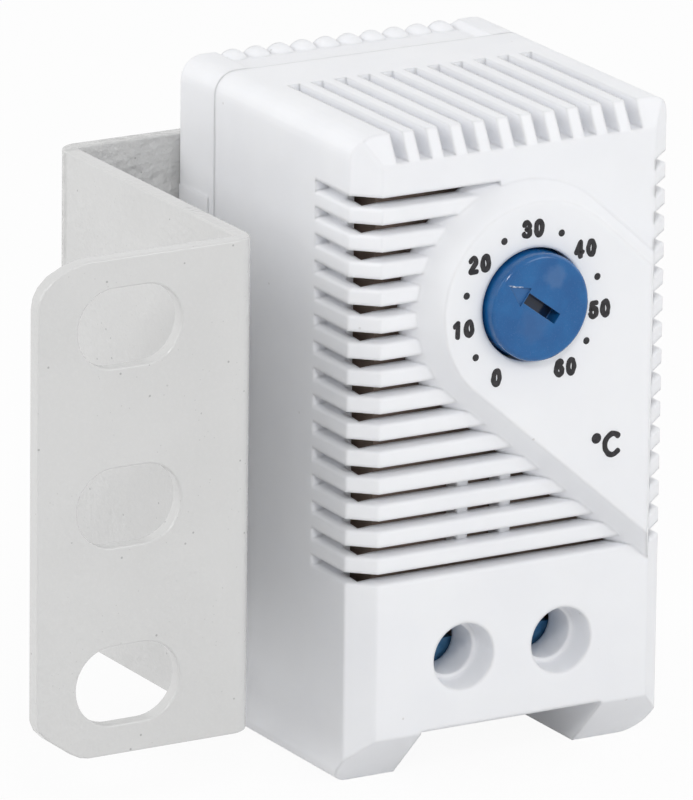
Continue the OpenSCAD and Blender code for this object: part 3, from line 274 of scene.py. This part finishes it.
def powder_coat():
    """Light grey powder coat: orange peel, fine pits, a few dark specks and a lumpy rear plate."""
    tone = (0.665, 0.665, 0.661)
    f = Finish("bracket_grey", tone)
    lumps = f.noise(2.0, 2, 0.5)
    peel = f.noise(0.8, 2, 0.5, shift=3)
    fine = f.noise(0.3, 3, 0.7)
    patch = f.noise(12, 2)
    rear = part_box("mounting_bracket")[1][1] / MM
    rear_plate = f.axis("Y").over(rear - 2.6, rear - 1.6)
    rough_patch = f.noise(9, 1, shift=11).over(0.42, 0.68) * 0.6 + rear_plate * 2.6
    speck = 1 - f.cells(1.3).over(0.06, 0.1)
    pit = 1 - f.cells(0.6, 5).over(0.07, 0.13)
    pick = f.noise(2.2, 1, shift=7).over(0.5, 0.55)
    shade = f.mix(patch.over(0.35, 0.65), tone, (0.645, 0.645, 0.641))
    shade = f.mix(fine.over(0.45, 0.7) * 0.14, shade, (0.74, 0.74, 0.736))
    shade = f.mix(pit * f.noise(3, 1, shift=15).over(0.54, 0.6) * 0.35, shade, (0.38, 0.38, 0.38))
    shade = f.mix(speck * pick * 0.5, shade, (0.2, 0.2, 0.2))
    f.set(Base_Color=shade, Roughness=0.16 + fine * 0.1, Specular_IOR_Level=0.6)
    relief = lumps * (0.3 + rough_patch * 2.2) + peel * (0.4 + rough_patch) + fine * 0.1
    f.bump(relief, 0.09, strength=0.9)
    return f.material


def thermoset():
    """Brown moulded thermoset with a dull mottled skin."""
    f = Finish("frame_brown", (0.075, 0.045, 0.032))
    cloud = f.noise(3.5, 3)
    grain = f.noise(0.3, 3, 0.7)
    shade = f.mix(cloud.over(0.35, 0.7), (0.38, 0.29, 0.24), (0.29, 0.215, 0.175))
    shade = f.mix(grain.over(0.6, 0.8) * 0.5, shade, (0.5, 0.41, 0.35))
    f.set(Base_Color=shade, Roughness=0.5 + grain * 0.2)
    f.bump(grain, 0.02, soft_edge=0.1, strength=0.5)
    return f.material


def metal(name, tone, worn, rough, along, seed=0.0):
    """Bare or plated metal with fine drawn lines along one direction."""
    f = Finish(name, tone)
    stretch = [0.06 if axis == along else 1 for axis in "xyz"]
    lines = f.noise(0.12, 2, 0.6, stretch, seed)
    cloud = f.noise(2.4, 3, shift=seed + 1)
    shade = f.mix(cloud.over(0.35, 0.7), tone, worn)
    f.set(Base_Color=shade, Metallic=1.0, Roughness=rough + lines * 0.14 + cloud * 0.08)
    f.bump(lines, 0.006, soft_edge=0.06, strength=0.6)
    return f.material


def blue_zinc():
    """Blue passivated zinc with a faint change of hue."""
    f = Finish("blue_zinc", (0.12, 0.27, 0.42))
    hue = f.noise(0.9, 2)
    lines = f.noise(0.1, 2, 0.6, (1, 0.1, 1))
    shade = f.mix(hue.over(0.35, 0.65), (0.045, 0.18, 0.38), (0.09, 0.25, 0.44))
    shade = f.mix(hue.over(0.66, 0.76) * 0.35, shade, (0.3, 0.38, 0.45))
    f.set(Base_Color=shade, Metallic=0.6, Roughness=0.34 + lines * 0.15)
    f.bump(lines, 0.005, soft_edge=0.08, strength=0.6)
    return f.material


def printing_ink():
    """Dark grey pad-printed ink, a little uneven."""
    f = Finish("scale_ink", (0.03, 0.03, 0.032))
    cloud = f.noise(0.5, 3, 0.6)
    grain = f.noise(0.08, 2, 0.7)
    shade = f.mix(cloud.over(0.3, 0.75), (0.02, 0.019, 0.021), (0.045, 0.042, 0.045))
    f.set(Base_Color=shade, Roughness=0.5 + grain * 0.15, Specular_IOR_Level=0.3)
    f.bump(grain, 0.004, strength=0.5)
    return f.material


FINISHES = {
    "shell_white": moulded_white("shell_white", (0.9, 0.909, 0.937), 0.0),
    "base_white": moulded_white("base_white", (0.894, 0.902, 0.928), 5.0),
    "knob_blue": knob_plastic(),
    "turned_brass": metal("turned_brass", (0.74, 0.54, 0.22), (0.62, 0.43, 0.17), 0.2, "y"),
    "frame_brown": thermoset(),
    "plated_steel": metal("plated_steel", (0.62, 0.63, 0.65), (0.52, 0.53, 0.56), 0.28, "z", 2.0),
    "spring_steel": metal("spring_steel", (0.5, 0.51, 0.53), (0.4, 0.42, 0.46), 0.22, "z", 3.0),
    "bimetal": metal("bimetal", (0.56, 0.47, 0.36), (0.48, 0.38, 0.27), 0.3, "z", 4.0),
    "soft_iron": metal("soft_iron", (0.27, 0.27, 0.28), (0.2, 0.19, 0.19), 0.4, "x", 5.0),
    "contact_silver": metal("contact_silver", (0.86, 0.85, 0.82), (0.72, 0.7, 0.66), 0.18, "y", 6.0),
    "magnet_grey": metal("magnet_grey", (0.16, 0.16, 0.17), (0.11, 0.11, 0.12), 0.5, "y", 7.0),
    "stamped_brass": metal("stamped_brass", (0.7, 0.45, 0.17), (0.58, 0.36, 0.13), 0.26, "z", 8.0),
    "blue_zinc": blue_zinc(),
    "cage_zinc": metal("cage_zinc", (0.58, 0.6, 0.62), (0.48, 0.5, 0.53), 0.3, "x", 9.0),
    "bracket_grey": powder_coat(),
}
INK = printing_ink()

for part in frame["record"]["subparts"]:
    solid = frame["nodes"][part["node"]]
    solid.data.materials.clear()
    solid.data.materials.append(FINISHES[part["material_slot"]])


def select_only(obj):
    bpy.ops.object.select_all(action="DESELECT")
    obj.select_set(True)
    bpy.context.view_layer.objects.active = obj


# Knob and bracket


# How near, in millimetres, corners are merged, and in degrees how flat joined faces are, and from which
# angle an edge is rounded or kept sharp
WELD, FLAT, ROUND_FROM, SHARP_FROM = 0.001, 0.5, 50, 40
ROUNDING_STEPS = 3
BRACKET_ROUNDING = 0.4


def polished_copy(node, body, rounding=0.0):
    """A merged copy of a solid, with edges rounded over some millimetres and its flat faces kept flat."""
    solid = frame["nodes"][node]
    obj = solid.copy()
    obj.data = solid.data.copy()
    bpy.context.collection.objects.link(obj)
    obj.parent = None
    obj.matrix_world = Matrix.Identity(4)
    obj.name = obj.data.name = f"{node}_polished"
    select_only(obj)
    bpy.ops.mesh.customdata_custom_splitnormals_clear()
    bpy.ops.object.mode_set(mode="EDIT")
    bpy.ops.mesh.select_all(action="SELECT")
    bpy.ops.mesh.remove_doubles(threshold=WELD * MM)
    bpy.ops.mesh.dissolve_limited(angle_limit=math.radians(FLAT))
    bpy.ops.object.mode_set(mode="OBJECT")
    if rounding:
        edges = obj.modifiers.new("round_edges", "BEVEL")
        edges.width = rounding * MM
        edges.segments = ROUNDING_STEPS
        edges.limit_method = "ANGLE"
        edges.angle_limit = math.radians(ROUND_FROM)
        bpy.ops.object.modifier_apply(modifier=edges.name)
    bpy.ops.object.shade_smooth_by_angle(angle=math.radians(SHARP_FROM))
    weights = obj.modifiers.new("flat_faces", "WEIGHTED_NORMAL")
    weights.keep_sharp = True
    bpy.ops.object.modifier_apply(modifier=weights.name)
    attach(obj, body)
    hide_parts(node)
    return obj


# The knob's radius, the size of its rounded edge in the solid and the share of it that is kept
KNOB_R, KNOB_EDGE, EDGE_SHARE = 4.92, 0.55, 0.8
# Where the pointer's base lies in the solid, and how near a corner must be to count as on a line
SOLID_POINTER_BASE = 2.45
NEAR_EDGE, NEAR_BASE = 0.01, 0.02


def finish_knob():
    """The polished knob with a crisp rim, and with the pointer carried on to the slot's end."""
    knob = polished_copy("adjusting_knob", "knob")
    face = min(v.co.y for v in knob.data.vertices)
    across = Vector((math.cos(POINTER_TURN), 0, -math.sin(POINTER_TURN)))
    along = Vector((math.sin(POINTER_TURN), 0, math.cos(POINTER_TURN)))
    for v in knob.data.vertices:
        deep = (v.co.y - face) / MM
        out = Vector((v.co.x / MM - BODY_X, 0, v.co.z / MM - DIAL_Z))
        gap = KNOB_R - out.length
        on_base = abs(out.dot(along) - SOLID_POINTER_BASE) < NEAR_BASE
        if max(deep, gap) < KNOB_EDGE + NEAR_EDGE:
            spot = out * ((KNOB_R - gap * EDGE_SHARE) / out.length)
            v.co = ((spot.x + BODY_X) * MM, face + deep * EDGE_SHARE * MM, (spot.z + DIAL_Z) * MM)
        elif on_base and abs(out.dot(across)) < POINTER_HALF + NEAR_BASE:
            v.co += along * (POINTER_BASE - SOLID_POINTER_BASE) * MM


finish_knob()
polished_copy("mounting_bracket", "bracket", BRACKET_ROUNDING)


# Dial print


def settle(obj, name, x, z):
    """Takes print that was drawn in millimetres to its place on the dial and applies it."""
    points = [v.co for v in obj.data.vertices]
    middle = Vector([(min(p[i] for p in points) + max(p[i] for p in points)) / 2 for i in range(3)])
    turn = Matrix.Translation(at(x, DIAL_FACE_Y, z)) @ Euler((math.radians(90), 0, 0)).to_matrix().to_4x4()
    obj.matrix_world = turn @ Matrix.Scale(MM, 4) @ Matrix.Translation(-middle)
    select_only(obj)
    bpy.ops.object.transform_apply(location=True, rotation=True, scale=True)
    obj.name = name
    obj.data.name = name
    obj.data.materials.clear()
    obj.data.materials.append(INK)
    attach(obj, "housing")


# Thickness of the ink, and how far and how often in a millimetre its edge wanders
PRINT_HEIGHT = 0.02
RAGGED, RAGGED_STEPS = 0.07, 2.2
# Without a fixed seed the noise starts from the clock, and the print differs in each run
noise.seed_set(7)


# Degrees between two points of a printed bow
BOW_STEP = 12


def sweep(across, up, half_width, half_height, start, end):
    """Points of an oval stroke between two angles, counted from the right and to the left round."""
    count = max(4, round(abs(end - start) / BOW_STEP))
    turns = [math.radians(start + (end - start) * i / count) for i in range(count + 1)]
    return [(across + half_width * math.cos(t), up + half_height * math.sin(t)) for t in turns]


# Middle lines of the printed signs, in a box that is one wide and one high
SIGNS = {
    "0": [sweep(0.5, 0.5, 0.5, 0.5, 90, 450)],
    "1": [[(0.12, 0.8), (0.62, 1.0)], [(0.62, 1.0), (0.62, 0.0)]],
    "2": [sweep(0.48, 0.72, 0.44, 0.28, 168, -28) + [(0.04, 0.03)], [(0.04, 0.0), (1.0, 0.0)]],
    "3": [sweep(0.44, 0.76, 0.46, 0.24, 160, -90), sweep(0.46, 0.27, 0.52, 0.27, 90, -162)],
    "4": [[(0.68, 1.0), (0.0, 0.3)], [(0.0, 0.3), (1.0, 0.3)], [(0.7, 1.0), (0.7, 0.0)]],
    "5": [[(0.95, 1.0), (0.18, 1.0)], [(0.18, 1.0), (0.08, 0.5)], sweep(0.48, 0.31, 0.52, 0.31, 140, -158)],
    "6": [sweep(0.56, 0.55, 0.54, 0.45, 48, 190), sweep(0.5, 0.29, 0.48, 0.29, 0, 360)],
    "C": [sweep(0.55, 0.5, 0.55, 0.5, 48, 312)],
}


def add_stroke(curve, points, half):
    """One stroke with round ends: its width follows a half circle past each end."""
    points = [Vector((*p, 0)) for p in points]
    closed = (points[0] - points[-1]).length < half * 0.1
    widths = [1.0] * len(points)
    if closed:
        points.pop()
        widths.pop()
    else:
        ends = [math.radians(a) for a in (25, 50, 70, 84, 90)]
        head = (points[0] - points[1]).normalized()
        tail = (points[-1] - points[-2]).normalized()
        first = [points[0] + head * half * math.sin(a) for a in reversed(ends)]
        last = [points[-1] + tail * half * math.sin(a) for a in ends]
        points = first + points + last
        cap = [math.cos(a) for a in ends]
        widths = cap[::-1] + widths + cap
    spline = curve.splines.new("POLY")
    spline.points.add(len(points) - 1)
    spline.use_cyclic_u = closed
    for knot, place, width in zip(spline.points, points, widths):
        knot.co = (*place, 1)
        knot.radius = max(width, 0.001)


def print_signs(name, words, x, z, box, stroke, step):
    """Bold signs with round stroke ends, pressed flat on the dial like printed ink."""
    bpy.ops.curve.primitive_nurbs_path_add()
    obj = bpy.context.object
    curve = obj.data
    curve.splines.clear()
    curve.dimensions = "3D"
    curve.bevel_depth = stroke / 2
    curve.bevel_resolution = 3
    wide, high = box[0] - stroke, box[1] - stroke
    for place, sign in enumerate(words):
        for points in SIGNS[sign]:
            add_stroke(curve, [(p[0] * wide + place * step, p[1] * high) for p in points], stroke / 2)
    select_only(obj)
    bpy.ops.object.convert(target="MESH")
    obj = bpy.context.view_layer.objects.active
    bpy.ops.object.mode_set(mode="EDIT")
    bpy.ops.mesh.select_all(action="SELECT")
    bpy.ops.mesh.remove_doubles(threshold=0.002)
    bpy.ops.mesh.normals_make_consistent(inside=False)
    bpy.ops.transform.resize(value=(1, 1, PRINT_HEIGHT * 2 / stroke))
    bpy.ops.object.mode_set(mode="OBJECT")
    for point in obj.data.vertices:
        point.co.xy += noise.noise_vector((point.co + Vector((x, z, 0))) * RAGGED_STEPS).xy * RAGGED
    bpy.ops.object.shade_smooth()
    settle(obj, name, x, z)


def print_dot(name, x, z, across):
    """Round dot with a softly rounded rim."""
    bpy.ops.mesh.primitive_uv_sphere_add(segments=24, ring_count=8, radius=across / 2)
    obj = bpy.context.object
    bpy.ops.object.mode_set(mode="EDIT")
    bpy.ops.mesh.select_all(action="SELECT")
    bpy.ops.transform.resize(value=(1, 1, PRINT_HEIGHT * 2 / across))
    bpy.ops.object.mode_set(mode="OBJECT")
    bpy.ops.object.shade_smooth()
    settle(obj, name, x, z)


# The print sits a little low and to the left of the knob's axis, as pad printing does
PRINT_X, PRINT_Z = -0.1, DIAL_Z - 0.14
FIRST_NUMBER, FIRST_DOT, DEGREES_PER_STEP = -150, -125, 50
NUMBER_RING, DOT_RING = 7.08, 6.95
DIGIT_BOX, DIGIT_STROKE, DIGIT_STEP, DOT_ACROSS = (1.1, 1.76), 0.5, 1.23, 0.66
LETTER_BOX, LETTER_STROKE, DEGREE_ACROSS = (2.0, 2.48), 0.55, 1.0


def on_ring(radius, degrees):
    """Place on the dial at a turn from the top, clockwise."""
    turn = math.radians(degrees)
    return PRINT_X + radius * math.sin(turn), PRINT_Z + radius * math.cos(turn)


for step in range(7):
    x, z = on_ring(NUMBER_RING, FIRST_NUMBER + DEGREES_PER_STEP * step)
    print_signs(f"dial_number_{step * 10}", str(step * 10), x, z, DIGIT_BOX, DIGIT_STROKE, DIGIT_STEP)
for step in range(6):
    x, z = on_ring(DOT_RING, FIRST_DOT + DEGREES_PER_STEP * step)
    print_dot(f"dial_dot_{step * 10 + 5}", x, z, DOT_ACROSS)
print_dot("degree_dot", 6.83, 30.85, DEGREE_ACROSS)
print_signs("degree_letter", "C", 8.4, 30.1, LETTER_BOX, LETTER_STROKE, 0)


# Floor, lamps and camera


# How white the floor shows, and how strongly the sky lights the part
FLOOR_GLOW, SKY_LIGHT = 0.94, 0.545


def white_stage():
    """Pale floor that reads white to the camera and keeps the shadow."""
    f = Finish("floor_white", (0.9, 0.9, 0.9))
    cloud = f.noise(40, 2)
    f.set(Base_Color=f.mix(cloud, (0.8, 0.8, 0.8), (0.82, 0.82, 0.82)), Roughness=0.9)
    glow = f.node("ShaderNodeEmission", {}, {"Color": (1, 1, 1, 1), "Strength": 1.0})
    plain = Value(f, f.shader.outputs[0])
    share = f.node("ShaderNodeMixShader", {}, {0: f.shows_white() * FLOOR_GLOW, 1: plain, 2: glow})
    f.feed(f.nodes["Material Output"].inputs["Surface"], share)
    return f.material


bpy.ops.mesh.primitive_plane_add(size=6)
floor = bpy.context.object
floor.name = "floor"
floor.data.materials.append(white_stage())

world = bpy.data.worlds.new("studio")
bpy.context.scene.world = world
world.use_nodes = True
sky = Nodes(world.node_tree)
light = sky.node("ShaderNodeMapRange", {}, {"Value": sky.shows_white(), "To Min": SKY_LIGHT, "To Max": 1.0})
sky.feed(sky.nodes["Background"].inputs["Color"], (1, 1, 1, 1))
sky.feed(sky.nodes["Background"].inputs["Strength"], light)

# Soft lamps: place and size in metres, and power in watts
MIDDLE = Vector((0.012, 0.0, 0.03))
LAMPS = {
    "lamp_front": ((0.42, -0.70, 0.42), (0.38, 0.38), 1.4),
    "lamp_left_back": ((-0.70, 0.28, 0.48), (0.4, 0.6), 2.55),
    "lamp_right": ((0.65, -0.05, 0.35), (0.4, 0.5), 0.48),
    "lamp_rims": ((-0.38, -0.72, 0.62), (0.15, 0.15), 2.15),
}
for name, (place, size, watts) in LAMPS.items():
    bpy.ops.object.light_add(type="AREA")
    lamp = bpy.context.object
    lamp.name = name
    lamp.data.shape = "RECTANGLE"
    lamp.data.size, lamp.data.size_y = size
    lamp.data.energy = watts
    turned = (Vector(place) - MIDDLE).normalized().to_track_quat("Z", "Y").to_matrix().to_4x4()
    lamp.matrix_world = Matrix.Translation(Vector(place)) @ turned

# Camera fitted to the photograph's edges: distance and aim in millimetres, focal length in its pixels
TURN, TILT, ROLL = (math.radians(v) for v in (-30.146, 16.796, 0.701))
DISTANCE, FOCAL_PIXELS = 978.85, 10884.8
AIM, AIM_RIGHT, AIM_UP = Vector((0, 15, 30)), -7.555, 0.572
PICTURE_WIDE, SENSOR_WIDE = 693, 36
back = Vector((math.sin(TURN) * math.cos(TILT), -math.cos(TURN) * math.cos(TILT), math.sin(TILT)))
right = Vector((math.cos(TURN), math.sin(TURN), 0))
up = back.cross(right)
eye = AIM + right * AIM_RIGHT + up * AIM_UP + back * DISTANCE
across = right * math.cos(ROLL) + up * math.sin(ROLL)
upward = up * math.cos(ROLL) - right * math.sin(ROLL)
bpy.ops.object.camera_add()
camera = bpy.context.object
camera.matrix_world = Matrix.Translation(at(*eye)) @ Matrix((across, upward, back)).transposed().to_4x4()
camera.data.sensor_fit = "HORIZONTAL"
camera.data.sensor_width = SENSOR_WIDE
camera.data.lens = FOCAL_PIXELS / PICTURE_WIDE * SENSOR_WIDE
bpy.context.scene.camera = camera
bpy.context.scene.view_settings.view_transform = "Standard"
